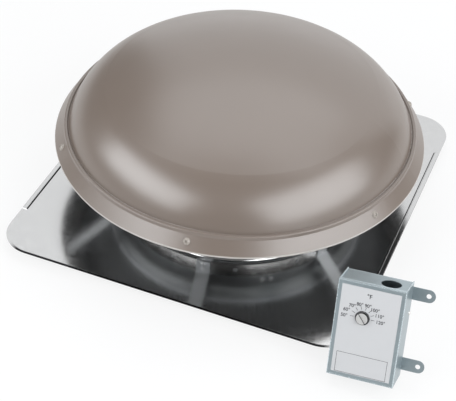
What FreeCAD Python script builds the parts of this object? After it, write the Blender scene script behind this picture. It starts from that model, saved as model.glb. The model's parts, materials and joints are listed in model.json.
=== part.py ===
import FreeCAD, Part
import math
import os

# Power attic ventilator: a square flashing with a throat, a fan on a motor in the throat, a
# domed hood on six legs, and the thermostat box that comes with it, leaning on the flashing.
# Millimetres. +Z is up, along the fan's axis. Z = 0 is the flashing's underside.

# Flashing
flashing_x = 572.0
flashing_y = 590.0
corner_radius = 52.0
flashing_sheet = 0.8
hem_width = 8.0
hem_half_length = 205.0
hem_gap = 0.1
hem_notch_y = -32.0
hem_notch_width = 3.0
neck_height = 34.0
neck_bend_radius = 9.0

# Throat ring: the fan turns in it, so the blades' reach sets its size
blade_tip_radius = 178.0
tip_clearance = 12.0
throat_sheet = 0.8
throat_top = 62.0
throat_drop = 18.0
throat_swage = 1.2
throat_swage_height = 2.5
throat_flare = 12.0
throat_flare_height = 11.0
throat_flare_bend = 12.0
sheet_clearance = 0.1
throat_rivet_count = 12
throat_rivet_z = 20.0
throat_rivet_turn = 21.0

# Dome: its groove overhangs the throat, and its crown, groove and rim are placed from each other
dome_sheet = 0.8
rim_z = 102.6
rim_drop = 27.0
rim_overhang = 24.1
hood_overhang = 78.1
dome_rise = 112.4
shoulder_radius = 115.0
groove_lean = 69.1
groove_drop = 4.0
groove_bend = 1.0
bead_height = 2.6
bead_width = 8.0
bead_flank = 2.4
bead_bend = 1.6
skirt_bend = 1.2
curl_radius = 2.0
curl_side = 4.1

# Legs between the throat and the dome
leg_count = 6
leg_turn = 36.0
leg_width = 22.0
leg_sheet = 1.6
leg_foot_low = 9.5
leg_foot_high = 33.0
leg_knee_up = 8.5
leg_tab_length = 15.0
leg_bend_radius = 2.5
leg_rivet_low = 14.5
leg_rivet_high = 26.0
seat_clearance = 0.05

# Screws and rivets
dome_screw_radius = 2.4
dome_screw_head = 4.6
dome_screw_head_height = 3.0
dome_screw_length = 10.0
dome_screw_up = 15.8
dome_screw_tool = 12.0
dome_nut_sides = 6
dome_nut_across = 7.5
dome_nut_height = 3.2
rivet_radius = 2.0
rivet_head_radius = 3.6
rivet_head_height = 1.3
rivet_tail_radius = 3.2
rivet_tail_height = 1.2
hole_fit = 0.05
wall_tool = 10.0

# Bird screen
screen_sheet = 0.9
screen_gap = 0.3
screen_inset = 6.1
screen_windows = 36
screen_rows = 3
screen_wire = 3.0
screen_tool = 1.0

# Motor
motor_radius = 52.0
motor_wall = 1.2
shell_length = 54.0
bell_height = 17.0
bell_wall = 2.2
bell_lip = 4.0
bell_chamfer = 2.5
bell_vents = 8
bell_vent_width = 7.0
bell_vent_low = 16.0
bell_vent_high = 31.0
bell_boss_radius = 6.0
bell_boss_height = 7.0
bearing_outer_radius = 9.0
bearing_length = 14.0
bearing_boss_wall = 3.0
shaft_radius = 4.0
shaft_running_fit = 0.05
shaft_bottom_z = 5.0
shaft_above_bearing = 4.0
collar_radius = 8.0
collar_gap = 0.3
stator_length = 38.0
rotor_radius = 26.0
air_gap = 0.6
stator_slots = 12
slot_width = 6.0
slot_depth = 13.0
slot_lip = 2.5
slot_mouth = 2.0
coil_overhang = 8.0
coil_corner = 2.0
coil_clearance = 0.2
end_ring_height = 5.0
end_ring_inset = 2.0
end_ring_width = 7.0
through_bolt_circle = 45.5
through_bolt_radius = 1.9
through_bolt_count = 4
through_bolt_turn = 21.0
through_bolt_head = 3.6
through_bolt_head_height = 2.2
lead_bushing_radius = 6.0
lead_bushing_wall = 2.0
lead_bushing_lip = 1.8

# Motor mount
arm_count = 3
arm_turn = 66.0
arm_seat_z = 58.0
arm_width = 26.0
arm_sheet = 2.5
arm_foot_drop = 24.0
arm_foot_gap = 0.5
arm_bend_radius = 4.0
mount_bolt_circle = 38.0
mount_bolt_radius = 2.5
mount_bolt_head = 4.6
mount_bolt_head_height = 3.0
grommet_height = 5.0
grommet_radius = 8.0
grommet_waist = 6.4
grommet_lip = 1.2
arm_rivet_spread = 7.0
arm_rivet_drop = 14.0

# Fan
blade_count = 4
blade_root_radius = 52.0
blade_sheet = 1.5
blade_mid_z = 26.0
root_chord = 76.0
tip_chord = 132.0
root_pitch = 34.0
tip_pitch = 19.0
root_camber = 6.0
tip_camber = 9.0
blade_corner = 22.0
blade_root_corner = 12.0
blade_gap = 0.1
blade_loft_overrun = 6.0
blade_rivet_gap = 0.15
blade_tool_height = 120.0
spider_sheet = 2.0
spider_arm_width = 30.0
spider_arm_reach = 104.0
spider_disc_radius = 40.0
spider_arm_start = 30.0
spider_loft_start = 24.0
hub_radius = 13.0
hub_length = 28.0
hub_below = 9.0
hub_flange_radius = 22.5
hub_flange_height = 3.5
hub_rivet_circle = 18.0
hub_rivet_turn = 45.0
set_screw_radius = 2.5
set_screw_up = 14.0
blade_rivet_inner = 64.0
blade_rivet_outer = 92.0

# Thermostat box
box_width = 96.0
box_height = 144.0
box_depth = 51.0
box_sheet = 1.2
box_lean = 22.7
box_yaw = 0.3
box_tip = 4.5
box_contact_angle = -48.0
box_contact_gap = 0.3
cover_rise = 2.2
cover_lip = 4.0
cover_corner = 1.1
box_fit = 0.15
tab_width = 14.0
tab_depth = 14.0
tab_drop = 46.0
ear_reach = 32.5
ear_width = 19.0
ear_hole_radius = 3.6
ear_hole_spacing = 108.0
ear_hole_reach = 23.0
knockout_radius = 14.3
knockout_inset = 27.0
label_margin = 6.0
label_sheet = 0.3
dial_radius = 9.0
dial_proud = 3.5
dial_across = 40.0
dial_drop = 50.7
dial_slot_width = 1.6
dial_slot_depth = 1.4
dial_shaft_radius = 3.0
dial_shaft_tail = 8.0
dial_gap = 0.3
dial_chamfer = 0.5
dial_running_fit = 0.06
dial_rest_angle = 128.6
bushing_radius = 5.5
bushing_flange = 7.5
bushing_spacer = 4.0
switch_width = 40.0
switch_height = 54.0
switch_depth = 18.0
switch_corner = 3.0
terminal_step = 12.0
terminal_radius = 1.8
terminal_length = 6.0
terminal_head = 3.6
terminal_head_height = 1.8
bimetal_length = 46.0
bimetal_width = 9.0
bimetal_sheet = 0.8
bimetal_post = 3.0
bimetal_foot = 8.0
cover_screw_radius = 1.6
cover_screw_length = 7.0
cover_screw_head = 3.0
cover_screw_head_height = 1.8

UP = FreeCAD.Vector(0, 0, 1)
ORIGIN = FreeCAD.Vector(0, 0, 0)

os.makedirs("parts", exist_ok=True)


def V(x, y, z=0.0):
    return FreeCAD.Vector(x, y, z)


def save(name, *solids):
    shape = solids[0] if len(solids) == 1 else Part.Compound(list(solids))
    shape.exportStep("parts/" + name + ".step")


def turned(shape, degrees):
    copy = shape.copy()
    copy.rotate(ORIGIN, UP, degrees)
    return copy


def ring_of(shape, count, first=0.0):
    return [turned(shape, first + 360.0 * k / count) for k in range(count)]


def fused(shapes):
    return shapes[0].multiFuse(shapes[1:]).removeSplitter()


def one_solid(shape):
    return shape.Solids[0] if len(shape.Solids) == 1 else shape


# Profiles are drawn in the XZ plane, as points (r, z) with a radius at each corner.
def rounded_edges(points, radii, closed):
    count = len(points)
    places = [V(r, 0, z) for r, z in points]
    starts, ends, edges = {}, {}, []
    for k in range(count):
        inner = closed or 0 < k < count - 1
        radius = radii.get(k, 0.0)
        if not inner or radius == 0.0:
            starts[k] = ends[k] = places[k]
            continue
        back = (places[k - 1] - places[k]).normalize()
        ahead = (places[(k + 1) % count] - places[k]).normalize()
        half = back.getAngle(ahead) / 2
        reach = radius / math.tan(half)
        starts[k] = places[k] + back * reach
        ends[k] = places[k] + ahead * reach
        middle = (back + ahead).normalize()
        centre = places[k] + middle * (radius / math.sin(half))
        edges.append((k, Part.Arc(starts[k], centre - middle * radius, ends[k]).toShape()))
    arcs = dict(edges)
    result = []
    for k in range(count):
        if k in arcs:
            result.append(arcs[k])
        if closed or k < count - 1:
            a, b = ends[k], starts[(k + 1) % count]
            if a.distanceToPoint(b) > 1e-6:
                result.append(Part.LineSegment(a, b).toShape())
    return result


def offset_points(points, thickness):
    result = []
    for k, (r, z) in enumerate(points):
        normals = []
        for a, b in ((k - 1, k), (k, k + 1)):
            if a < 0 or b >= len(points):
                continue
            dr, dz = points[b][0] - points[a][0], points[b][1] - points[a][1]
            length = math.hypot(dr, dz)
            normals.append((dz / length, -dr / length))
        if len(normals) == 1:
            n, scale = normals[0], 1.0
        else:
            n = (normals[0][0] + normals[1][0], normals[0][1] + normals[1][1])
            scale = 2.0 / (n[0] ** 2 + n[1] ** 2)
        result.append((r + n[0] * thickness * scale, z + n[1] * thickness * scale))
    return result


# A bent sheet's section: the path is one face of the sheet, and the other lies to its right
# going along the path. radii are those of the path's own face.
def sheet_face(points, radii, thickness):
    far = offset_points(points, thickness)
    far_radii = {}
    for k, radius in radii.items():
        (r0, z0), (r1, z1), (r2, z2) = points[k - 1], points[k], points[k + 1]
        turn = (r1 - r0) * (z2 - z1) - (z1 - z0) * (r2 - r1)
        far_radii[k] = radius + (thickness if turn > 0 else -thickness)
    near_edges = rounded_edges(points, radii, False)
    far_edges = rounded_edges(far, far_radii, False)
    ends = [Part.LineSegment(V(a[0], 0, a[1]), V(b[0], 0, b[1])).toShape()
            for a, b in ((points[0], far[0]), (points[-1], far[-1]))]
    return Part.Face(Part.Wire(Part.__sortEdges__(near_edges + far_edges + ends)))


def profile_face(points, radii=None):
    return Part.Face(Part.Wire(rounded_edges(points, radii or {}, True)))


def spun(face):
    return one_solid(face.revolve(ORIGIN, UP, 360))


def disc(radius, height, z=0.0, hole=0.0):
    body = Part.makeCylinder(radius, height, V(0, 0, z))
    return body.cut(Part.makeCylinder(hole, height, V(0, 0, z))) if hole else body


def across(radius, length, start, direction):
    return Part.makeCylinder(radius, length, start, direction)


# A strip of sheet bent to a profile in the XZ plane, centred on Y = 0.
def strip(points, radii, thickness, width):
    face = sheet_face(points, radii, thickness)
    face.translate(V(0, -width / 2, 0))
    return one_solid(face.extrude(V(0, width, 0)))


# A round fastener along +Z: the head's underside is at Z = 0 and the shank points down. A rivet
# also has a tail.
def fastener(radius, length, head_radius, head_height, tail_radius=0.0, tail_height=0.0):
    ball = (head_radius ** 2 + head_height ** 2) / (2 * head_height)
    spread = math.asin(min(1.0, head_radius / ball)) / 2
    outline = [V(0, 0, head_height), V(0, 0, -length), V(radius, 0, -length), V(radius, 0, 0),
               V(head_radius, 0, 0)]
    edges = [Part.LineSegment(a, b).toShape() for a, b in zip(outline[:-1], outline[1:])]
    crest = V(ball * math.sin(spread), 0, head_height - ball + ball * math.cos(spread))
    edges.append(Part.Arc(outline[-1], crest, outline[0]).toShape())
    body = spun(Part.Face(Part.Wire(edges)))
    if tail_radius:
        tail = Part.makeCylinder(tail_radius, tail_height, V(0, 0, -length - tail_height))
        body = body.fuse(tail).removeSplitter()
    return one_solid(body)


def aimed(shape, place, direction):
    copy = shape.copy()
    copy.Placement = FreeCAD.Placement(place, FreeCAD.Rotation(UP, direction))
    return copy


# Flashing: a sheet with rounded corners, hemmed along both sides, its hole drawn up as a neck.
throat_radius = blade_tip_radius + tip_clearance
neck_inner = throat_radius + throat_sheet + sheet_clearance
neck_outer = neck_inner + flashing_sheet
neck_foot = neck_inner + neck_bend_radius
hem_outer_radius = flashing_sheet + hem_gap / 2


def flashing_outline(x_size, y_size, radius, height):
    x, y = x_size / 2, y_size / 2
    body = Part.makeBox(x_size, y_size, height, V(-x, -y, 0))
    upright = [e for e in body.Edges if abs(e.Vertexes[0].Z - e.Vertexes[-1].Z) > height / 2]
    return body.makeFillet(radius, upright)


def hem():
    edge = flashing_x / 2 - hem_outer_radius
    inside = flashing_x / 2 - hem_width
    top = 2 * hem_outer_radius
    outer = Part.Arc(V(edge, 0, 0), V(edge + hem_outer_radius, 0, hem_outer_radius), V(edge, 0, top))
    inner = Part.Arc(V(edge, 0, flashing_sheet), V(edge + hem_gap / 2, 0, hem_outer_radius),
                     V(edge, 0, top - flashing_sheet))
    edges = [outer.toShape(), inner.toShape()]
    for low, high in ((0, flashing_sheet), (top - flashing_sheet, top)):
        corners = [V(edge, 0, low), V(inside, 0, low), V(inside, 0, high), V(edge, 0, high)]
        edges += [Part.LineSegment(a, b).toShape() for a, b in zip(corners[:-1], corners[1:])]
    face = Part.Face(Part.Wire(Part.__sortEdges__(edges)))
    face.translate(V(0, -hem_half_length, 0))
    return face.extrude(V(0, 2 * hem_half_length, 0))


def flashing():
    plate = flashing_outline(flashing_x, flashing_y, corner_radius, flashing_sheet)
    plate = plate.cut(disc(neck_foot + flashing_sheet, flashing_sheet))
    neck_path = [(neck_foot + flashing_sheet, 0), (neck_inner, 0), (neck_inner, neck_height)]
    neck = spun(sheet_face(neck_path, {1: neck_bend_radius}, flashing_sheet))
    right = hem()
    notch = Part.makeBox(hem_width, hem_notch_width, flashing_sheet + hem_gap,
                         V(flashing_x / 2 - hem_width, hem_notch_y, flashing_sheet))
    trim = Part.makeBox(hem_width, 2 * hem_half_length, flashing_sheet,
                        V(flashing_x / 2 - hem_width, -hem_half_length, 0))
    plate = plate.cut(trim).cut(turned(trim, 180))
    body = fused([plate, neck, right.cut(notch), turned(hem(), 180)])
    return body.cut(Part.Compound(throat_rivet_holes() + leg_rivet_holes()))


# Throat ring: slides up into the neck to its swage, and flares at the top.
flare_edge_r = throat_radius + throat_flare
flare_edge_z = throat_top + throat_flare_height


def throat_ring():
    r = throat_radius
    # The collar's outer wall ends where the swage begins, level with the flashing's underside.
    knee = throat_sheet * math.tan(math.atan2(throat_swage, throat_swage_height) / 2)
    path = [(r + throat_swage, -throat_drop), (r + throat_swage, -knee), (r, throat_swage_height),
            (r, throat_top), (flare_edge_r, flare_edge_z)]
    body = spun(sheet_face(path, {3: throat_flare_bend}, throat_sheet))
    return body.cut(Part.Compound(throat_rivet_holes() + leg_rivet_holes() + arm_rivet_holes()))


# Rivet holes through the throat wall, and the rivets that fill them.
def wall_hole(z, aside=0.0):
    start = V(throat_radius - wall_tool, aside, z)
    return across(rivet_radius + hole_fit, 2 * wall_tool, start, V(1, 0, 0))


def throat_rivet_holes():
    return ring_of(wall_hole(throat_rivet_z), throat_rivet_count, throat_rivet_turn)


leg_rivet_heights = (leg_rivet_low, leg_rivet_high)


def leg_rivet_holes():
    return [h for z in leg_rivet_heights for h in ring_of(wall_hole(z), leg_count, leg_turn)]


def arm_rivet_holes():
    pair = [wall_hole(arm_seat_z - arm_rivet_drop, side * arm_rivet_spread) for side in (-1, 1)]
    return [h for hole in pair for h in ring_of(hole, arm_count, arm_turn)]


def wall_rivet(inside, outside, z):
    rivet = fastener(rivet_radius, outside - inside, rivet_head_radius, rivet_head_height,
                     rivet_tail_radius, rivet_tail_height)
    return aimed(rivet, V(outside, 0, z), V(1, 0, 0))


def throat_rivets():
    rivet = wall_rivet(throat_radius - seat_clearance, neck_outer + seat_clearance, throat_rivet_z)
    return ring_of(rivet, throat_rivet_count, throat_rivet_turn)


# Dome: a crown arc, a shoulder arc, a groove, a bead, and a skirt that curls in at the rim.
def plus(point, direction, distance):
    return (point[0] + direction[0] * distance, point[1] + direction[1] * distance)


def right_of(direction):
    return (direction[1], -direction[0])


groove_radius = throat_radius + hood_overhang
groove_z = rim_z + rim_drop
dome_top = groove_z + dome_rise
groove_angle = math.radians(groove_lean)
groove_bearing = (math.sin(groove_angle), math.cos(groove_angle))
shoulder_centre = plus((groove_radius, groove_z), groove_bearing, -shoulder_radius)

# The crown's centre is on the axis, where its arc touches both the dome's top and the shoulder.
shoulder_top = dome_top - shoulder_radius
crown_centre = (0.0, (shoulder_top ** 2 - shoulder_centre[0] ** 2 - shoulder_centre[1] ** 2)
                / (2 * (shoulder_top - shoulder_centre[1])))
crown_radius = dome_top - crown_centre[1]
shoulder_angle = math.atan2(shoulder_centre[0], shoulder_centre[1] - crown_centre[1])

groove_down = (math.cos(groove_angle), -math.sin(groove_angle))
groove_foot = plus((groove_radius, groove_z), groove_down, groove_drop)
bead_in = (groove_foot[0] + bead_flank, groove_foot[1] + bead_height)
bead_out = (groove_foot[0] + bead_width - bead_flank / 2, groove_foot[1] + bead_height)
skirt_top = (groove_foot[0] + bead_width, groove_foot[1] - bead_height)
rim_radius = groove_radius + rim_overhang
curl_centre = (rim_radius - curl_radius, rim_z)
curl_distance = math.hypot(curl_centre[0] - skirt_top[0], curl_centre[1] - skirt_top[1])
skirt_slope = (math.atan2(curl_centre[1] - skirt_top[1], curl_centre[0] - skirt_top[0])
               + math.asin(curl_radius / curl_distance))
skirt_down = (math.cos(skirt_slope), math.sin(skirt_slope))
skirt_in = right_of(skirt_down)
skirt_end = plus(plus(curl_centre, skirt_down, curl_side / 2), skirt_in, -curl_radius)


def arc_edge(centre, radius, start, end):
    middle = (start + end) / 2
    places = [V(centre[0] + radius * math.sin(a), 0, centre[1] + radius * math.cos(a))
              for a in (start, middle, end)]
    return Part.Arc(*places).toShape()


def dome_profile(inset):
    crown = arc_edge(crown_centre, crown_radius - inset, 0.0, shoulder_angle)
    shoulder = arc_edge(shoulder_centre, shoulder_radius - inset, shoulder_angle, groove_angle)
    return [crown, shoulder]


def dome():
    curl_foot = plus(skirt_end, skirt_in, curl_side)
    path = [(groove_radius, groove_z), groove_foot, bead_in, bead_out, skirt_top, skirt_end,
            curl_foot, plus(curl_foot, skirt_down, -curl_side)]
    bends = {1: groove_bend, 2: bead_bend, 3: bead_bend, 4: skirt_bend, 5: curl_radius, 6: curl_radius}
    sheet_side = {1: 1, 2: -1, 3: -1, 4: 1, 5: -1, 6: -1}
    far_bends = {k: bends[k] + sheet_side[k] * dome_sheet for k in bends}
    far = offset_points(path, dome_sheet)
    edges = dome_profile(0.0) + rounded_edges(path, bends, False)
    edges += dome_profile(dome_sheet) + rounded_edges(far, far_bends, False)
    edges.append(Part.LineSegment(V(0, 0, dome_top), V(0, 0, dome_top - dome_sheet)).toShape())
    edges.append(Part.LineSegment(V(path[-1][0], 0, path[-1][1]), V(far[-1][0], 0, far[-1][1])).toShape())
    body = spun(Part.Face(Part.Wire(Part.__sortEdges__(edges))))
    return body.cut(Part.Compound(ring_of(dome_screw_hole(), leg_count, leg_turn)))


def dome_inner_z(radius):
    return shoulder_centre[1] + math.sqrt((shoulder_radius - dome_sheet) ** 2
                                          - (radius - shoulder_centre[0]) ** 2)


screw_seat = plus(skirt_end, skirt_down, -dome_screw_up)
screw_out = V(-skirt_in[0], 0, -skirt_in[1])


def dome_screw_hole():
    start = V(screw_seat[0], 0, screw_seat[1]) - screw_out * dome_screw_tool
    return across(dome_screw_radius + hole_fit, 2 * dome_screw_tool, start, screw_out)


def dome_screws():
    screw = fastener(dome_screw_radius, dome_screw_length, dome_screw_head, dome_screw_head_height)
    seat = V(screw_seat[0], 0, screw_seat[1]) + screw_out * seat_clearance
    return ring_of(aimed(screw, seat, screw_out), leg_count, leg_turn)


# The flat tab's edges stand out further from the axis than its middle, so it needs this gap.
tab_gap = seat_clearance + leg_width ** 2 / (8 * groove_radius)


def dome_nuts():
    corner = dome_nut_across / 2 / math.cos(math.pi / dome_nut_sides)
    turns = [2 * math.pi * k / dome_nut_sides for k in range(dome_nut_sides + 1)]
    corners = [V(corner * math.cos(a), corner * math.sin(a)) for a in turns]
    nut = Part.Face(Part.makePolygon(corners)).extrude(V(0, 0, dome_nut_height))
    nut = nut.cut(Part.makeCylinder(dome_screw_radius + hole_fit, dome_nut_height))
    depth = dome_sheet + tab_gap + leg_sheet + seat_clearance + dome_nut_height
    seat = V(screw_seat[0], 0, screw_seat[1]) - screw_out * depth
    return ring_of(aimed(nut, seat, screw_out), leg_count, leg_turn)


# Legs: a foot riveted to the neck, a sloping strut, and a tab inside the skirt.
def dome_leg():
    foot = neck_outer + seat_clearance
    inset = dome_sheet + tab_gap + leg_sheet
    knee = plus(plus(skirt_end, skirt_down, -leg_knee_up), skirt_in, inset)
    tip = plus(knee, skirt_down, -leg_tab_length)
    path = [(foot, leg_foot_low), (foot, leg_foot_high), knee, tip]
    leg = strip(path, {1: leg_bend_radius, 2: leg_bend_radius}, leg_sheet, leg_width)
    holes = [wall_hole(z) for z in leg_rivet_heights] + [dome_screw_hole()]
    return one_solid(leg.cut(Part.Compound(holes)).cut(disc(foot, leg_foot_high)))


def leg_rivets():
    inside = throat_radius - seat_clearance
    outside = neck_outer + seat_clearance * 2 + leg_sheet
    rivets = [wall_rivet(inside, outside, z) for z in leg_rivet_heights]
    return [r for rivet in rivets for r in ring_of(rivet, leg_count, leg_turn)]


# Bird screen: a cone of punched mesh between the throat's flare and the dome.
screen_outer_radius = groove_radius - screen_inset


def bird_screen():
    low = (flare_edge_r + throat_sheet + screen_sheet, flare_edge_z + screen_gap)
    high = (screen_outer_radius, dome_inner_z(screen_outer_radius + screen_sheet) - screen_gap)
    slant = math.hypot(high[0] - low[0], high[1] - low[1])
    along = ((high[0] - low[0]) / slant, (high[1] - low[1]) / slant)
    body = spun(sheet_face([low, high], {}, screen_sheet))
    pitch = (slant - screen_wire) / screen_rows
    down = right_of(along)
    tools = []
    for row in range(screen_rows):
        start = plus(low, along, screen_wire + row * pitch)
        end = plus(start, along, pitch - screen_wire)
        above, below = -screen_tool, screen_sheet + screen_tool
        corners = [plus(start, down, above), plus(end, down, above),
                   plus(end, down, below), plus(start, down, below)]
        bar = math.degrees(screen_wire / start[0])
        window = profile_face(corners).revolve(ORIGIN, UP, 360.0 / screen_windows - bar)
        tools += ring_of(window, screen_windows)
    return body.cut(Part.Compound(tools))


# Motor mount: three arms riveted inside the throat, with rubber grommets under the motor.
motor_bottom = arm_seat_z + arm_sheet + grommet_height
motor_top = motor_bottom + 2 * bell_height + shell_length


def motor_arm():
    foot = throat_radius - arm_foot_gap - arm_sheet
    path = [(foot, arm_seat_z - arm_foot_drop), (foot, arm_seat_z), (mount_bolt_circle, arm_seat_z)]
    arm = strip(path, {1: arm_bend_radius}, arm_sheet, arm_width)
    middle = V(mount_bolt_circle, 0, arm_seat_z)
    arm = arm.fuse(Part.makeCylinder(arm_width / 2, arm_sheet, middle)).removeSplitter()
    holes = [across(mount_bolt_radius + hole_fit, arm_sheet, middle, UP)]
    holes += [wall_hole(arm_seat_z - arm_rivet_drop, side * arm_rivet_spread) for side in (-1, 1)]
    return one_solid(arm.cut(Part.Compound(holes)))


def arm_rivets():
    inside = throat_radius - arm_foot_gap - arm_sheet - seat_clearance
    outside = throat_radius + throat_sheet + seat_clearance
    rivets = []
    for side in (-1, 1):
        rivet = wall_rivet(inside, outside, arm_seat_z - arm_rivet_drop)
        rivet.translate(V(0, side * arm_rivet_spread, 0))
        rivets += ring_of(rivet, arm_count, arm_turn)
    return rivets


def motor_grommets():
    bore = mount_bolt_radius + hole_fit
    outline = [(bore, 0), (grommet_radius, 0), (grommet_radius, grommet_lip),
               (grommet_waist, grommet_height / 2), (grommet_radius, grommet_height - grommet_lip),
               (grommet_radius, grommet_height), (bore, grommet_height)]
    grommet = spun(profile_face(outline))
    grommet.translate(V(mount_bolt_circle, 0, arm_seat_z + arm_sheet))
    return ring_of(grommet, arm_count, arm_turn)


def motor_mount_bolts():
    length = arm_sheet + grommet_height + bell_wall + bell_boss_height
    bolt = fastener(mount_bolt_radius, length, mount_bolt_head, mount_bolt_head_height)
    bolt = aimed(bolt, V(mount_bolt_circle, 0, arm_seat_z - seat_clearance), V(0, 0, -1))
    return ring_of(bolt, arm_count, arm_turn)


# Motor: a shell between two end bells, each with a bearing; stator, coils and rotor inside.
boss_outer = bearing_outer_radius + bearing_boss_wall
shell_inner = motor_radius - motor_wall


def bell():
    seat = bearing_outer_radius + hole_fit
    spigot = shell_inner - hole_fit
    inner = spigot - bell_wall
    outline = [(seat, 0), (motor_radius - bell_chamfer, 0), (motor_radius, bell_chamfer),
               (motor_radius, bell_height), (spigot, bell_height), (spigot, bell_height + bell_lip),
               (inner, bell_height + bell_lip), (inner, bell_wall), (boss_outer, bell_wall),
               (boss_outer, bearing_length), (seat, bearing_length)]
    body = spun(profile_face(outline))
    length = bell_vent_high - bell_vent_low
    slot = Part.makeBox(length, bell_vent_width, bell_wall, V(bell_vent_low, -bell_vent_width / 2, 0))
    body = body.cut(Part.Compound(ring_of(slot, bell_vents)))
    bolt = Part.makeCylinder(through_bolt_radius + hole_fit, bell_height + bell_lip,
                             V(through_bolt_circle, 0, 0))
    return body.cut(Part.Compound(ring_of(bolt, through_bolt_count, through_bolt_turn)))


def motor_lower_bell():
    boss = Part.makeCylinder(bell_boss_radius, bell_boss_height, V(mount_bolt_circle, 0, bell_wall / 2))
    hole = Part.makeCylinder(mount_bolt_radius + hole_fit, bell_boss_height + bell_wall,
                             V(mount_bolt_circle, 0, 0))
    body = fused([bell()] + ring_of(boss, arm_count, arm_turn))
    body = body.cut(Part.Compound(ring_of(hole, arm_count, arm_turn)))
    body.translate(V(0, 0, motor_bottom))
    return one_solid(body)


def motor_upper_bell():
    body = bell().mirror(ORIGIN, UP)
    body.translate(V(0, 0, motor_top))
    return one_solid(body)


def motor_shell():
    low = motor_bottom + bell_height
    lead = across(lead_bushing_radius, 2 * motor_radius, V(0, 0, low + shell_length / 2), V(1, 0, 0))
    return disc(motor_radius, shell_length, low, shell_inner).cut(lead)


def lead_bushing():
    start = V(shell_inner, 0, motor_bottom + bell_height + shell_length / 2)
    lip_start = V(motor_radius + hole_fit, 0, start.z)
    body = across(lead_bushing_radius - hole_fit, lip_start.x - start.x, start, V(1, 0, 0))
    lip = across(lead_bushing_radius + lead_bushing_wall, lead_bushing_lip, lip_start, V(1, 0, 0))
    bore = across(lead_bushing_radius - lead_bushing_wall, motor_radius, start, V(1, 0, 0))
    return one_solid(body.fuse(lip).cut(bore))


def bearing(z):
    return disc(bearing_outer_radius, bearing_length, z, shaft_radius + shaft_running_fit)


stator_middle = (motor_bottom + motor_top) / 2
stator_inner = rotor_radius + air_gap


def slot_tool(clearance, length):
    width = slot_width - 2 * clearance
    corner = V(stator_inner + slot_lip, -width / 2, stator_middle - length / 2)
    return Part.makeBox(slot_depth, width, length, corner)


def stator_core():
    low = stator_middle - stator_length / 2
    body = disc(shell_inner - hole_fit, stator_length, low, stator_inner)
    mouth = Part.makeBox(stator_inner + slot_lip, slot_mouth, stator_length, V(0, -slot_mouth / 2, low))
    cuts = ring_of(slot_tool(0.0, stator_length), stator_slots) + ring_of(mouth, stator_slots)
    place = V(through_bolt_circle, 0, low)
    bolt = Part.makeCylinder(through_bolt_radius + hole_fit, stator_length, place)
    cuts += ring_of(bolt, through_bolt_count, through_bolt_turn)
    return body.cut(Part.Compound(cuts))


def stator_winding():
    length = stator_length + coil_overhang
    sides = ring_of(slot_tool(coil_clearance, length), stator_slots)
    inner, outer = stator_inner + slot_lip, stator_inner + slot_lip + slot_depth
    rounding = {k: coil_corner for k in range(4)}
    turns = []
    for side in (-1, 1):
        low = stator_middle + side * length / 2 - coil_overhang / 2
        high = low + coil_overhang
        outline = [(inner, low), (outer, low), (outer, high), (inner, high)]
        turns.append(spun(profile_face(outline, rounding)))
    return one_solid(fused(turns + sides))


def through_bolts():
    length = motor_top - motor_bottom
    bolt = fastener(through_bolt_radius, length, through_bolt_head, through_bolt_head_height,
                    through_bolt_head, through_bolt_head_height)
    bolt.translate(V(through_bolt_circle, 0, motor_top))
    return ring_of(bolt, through_bolt_count, through_bolt_turn)


def rotor_core():
    low = stator_middle - stator_length / 2
    body = disc(rotor_radius, stator_length, low, shaft_radius)
    outer = rotor_radius - end_ring_inset
    ends = [disc(outer, end_ring_height, z, outer - end_ring_width)
            for z in (low - end_ring_height, low + stator_length)]
    return one_solid(fused([body] + ends))


def motor_shaft():
    length = motor_top + shaft_above_bearing - shaft_bottom_z
    return Part.makeCylinder(shaft_radius, length, V(0, 0, shaft_bottom_z))


def shaft_collars():
    low = motor_bottom + bearing_length + collar_gap
    high = motor_top - bearing_length - collar_gap
    core_low = stator_middle - stator_length / 2
    core_high = core_low + stator_length
    return [disc(collar_radius, core_low - low, low, shaft_radius),
            disc(collar_radius, high - core_high, core_high, shaft_radius)]


# Fan: four cambered, twisted blades riveted to a spider, which is riveted to the hub.
def blend_at(x, root, tip):
    return root + (tip - root) * (x - blade_root_radius) / (blade_tip_radius - blade_root_radius)


def blade_frame(x):
    pitch = math.radians(blend_at(x, root_pitch, tip_pitch))
    camber = blend_at(x, root_camber, tip_camber)
    return pitch, camber


def blade_section(x, low, high):
    pitch, camber = blade_frame(x)
    half = blend_at(x, root_chord, tip_chord) / 2

    def place(u, w):
        return V(x, u * math.cos(pitch) - w * math.sin(pitch),
                 blade_mid_z + u * math.sin(pitch) + w * math.cos(pitch))

    lower = [place(-half, low), place(0, low - camber), place(half, low)]
    upper = [place(-half, high), place(0, high - camber), place(half, high)]
    edges = [Part.Arc(*lower).toShape(), Part.LineSegment(lower[2], upper[2]).toShape(),
             Part.Arc(*upper[::-1]).toShape(), Part.LineSegment(upper[0], lower[0]).toShape()]
    return Part.Wire(edges)


blade_stations = (spider_loft_start, blade_tip_radius + blade_loft_overrun)


def blade_loft(low, high):
    return Part.makeLoft([blade_section(x, low, high) for x in blade_stations], True, True)


# A point on the middle of a blade's lower face, and the face's upward normal there.
def blade_middle(x):
    ends, chords = [], []
    for station in blade_stations:
        pitch, camber = blade_frame(station)
        ends.append(V(station, camber * math.sin(pitch), blade_mid_z - camber * math.cos(pitch)))
        chords.append(V(0, math.cos(pitch), math.sin(pitch)) * blend_at(station, root_chord, tip_chord))
    share = (x - ends[0].x) / (ends[1].x - ends[0].x)
    along = ends[1] - ends[0]
    chord = chords[0] + (chords[1] - chords[0]) * share
    return ends[0] + along * share, along.cross(chord).normalize()


blade_rivet_radii = (blade_rivet_inner, blade_rivet_outer)


def blade_rivet_holes():
    holes = []
    for x in blade_rivet_radii:
        place, normal = blade_middle(x)
        holes.append(across(rivet_radius + hole_fit, 2 * wall_tool, place - normal * wall_tool, normal))
    return Part.Compound(holes)


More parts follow.
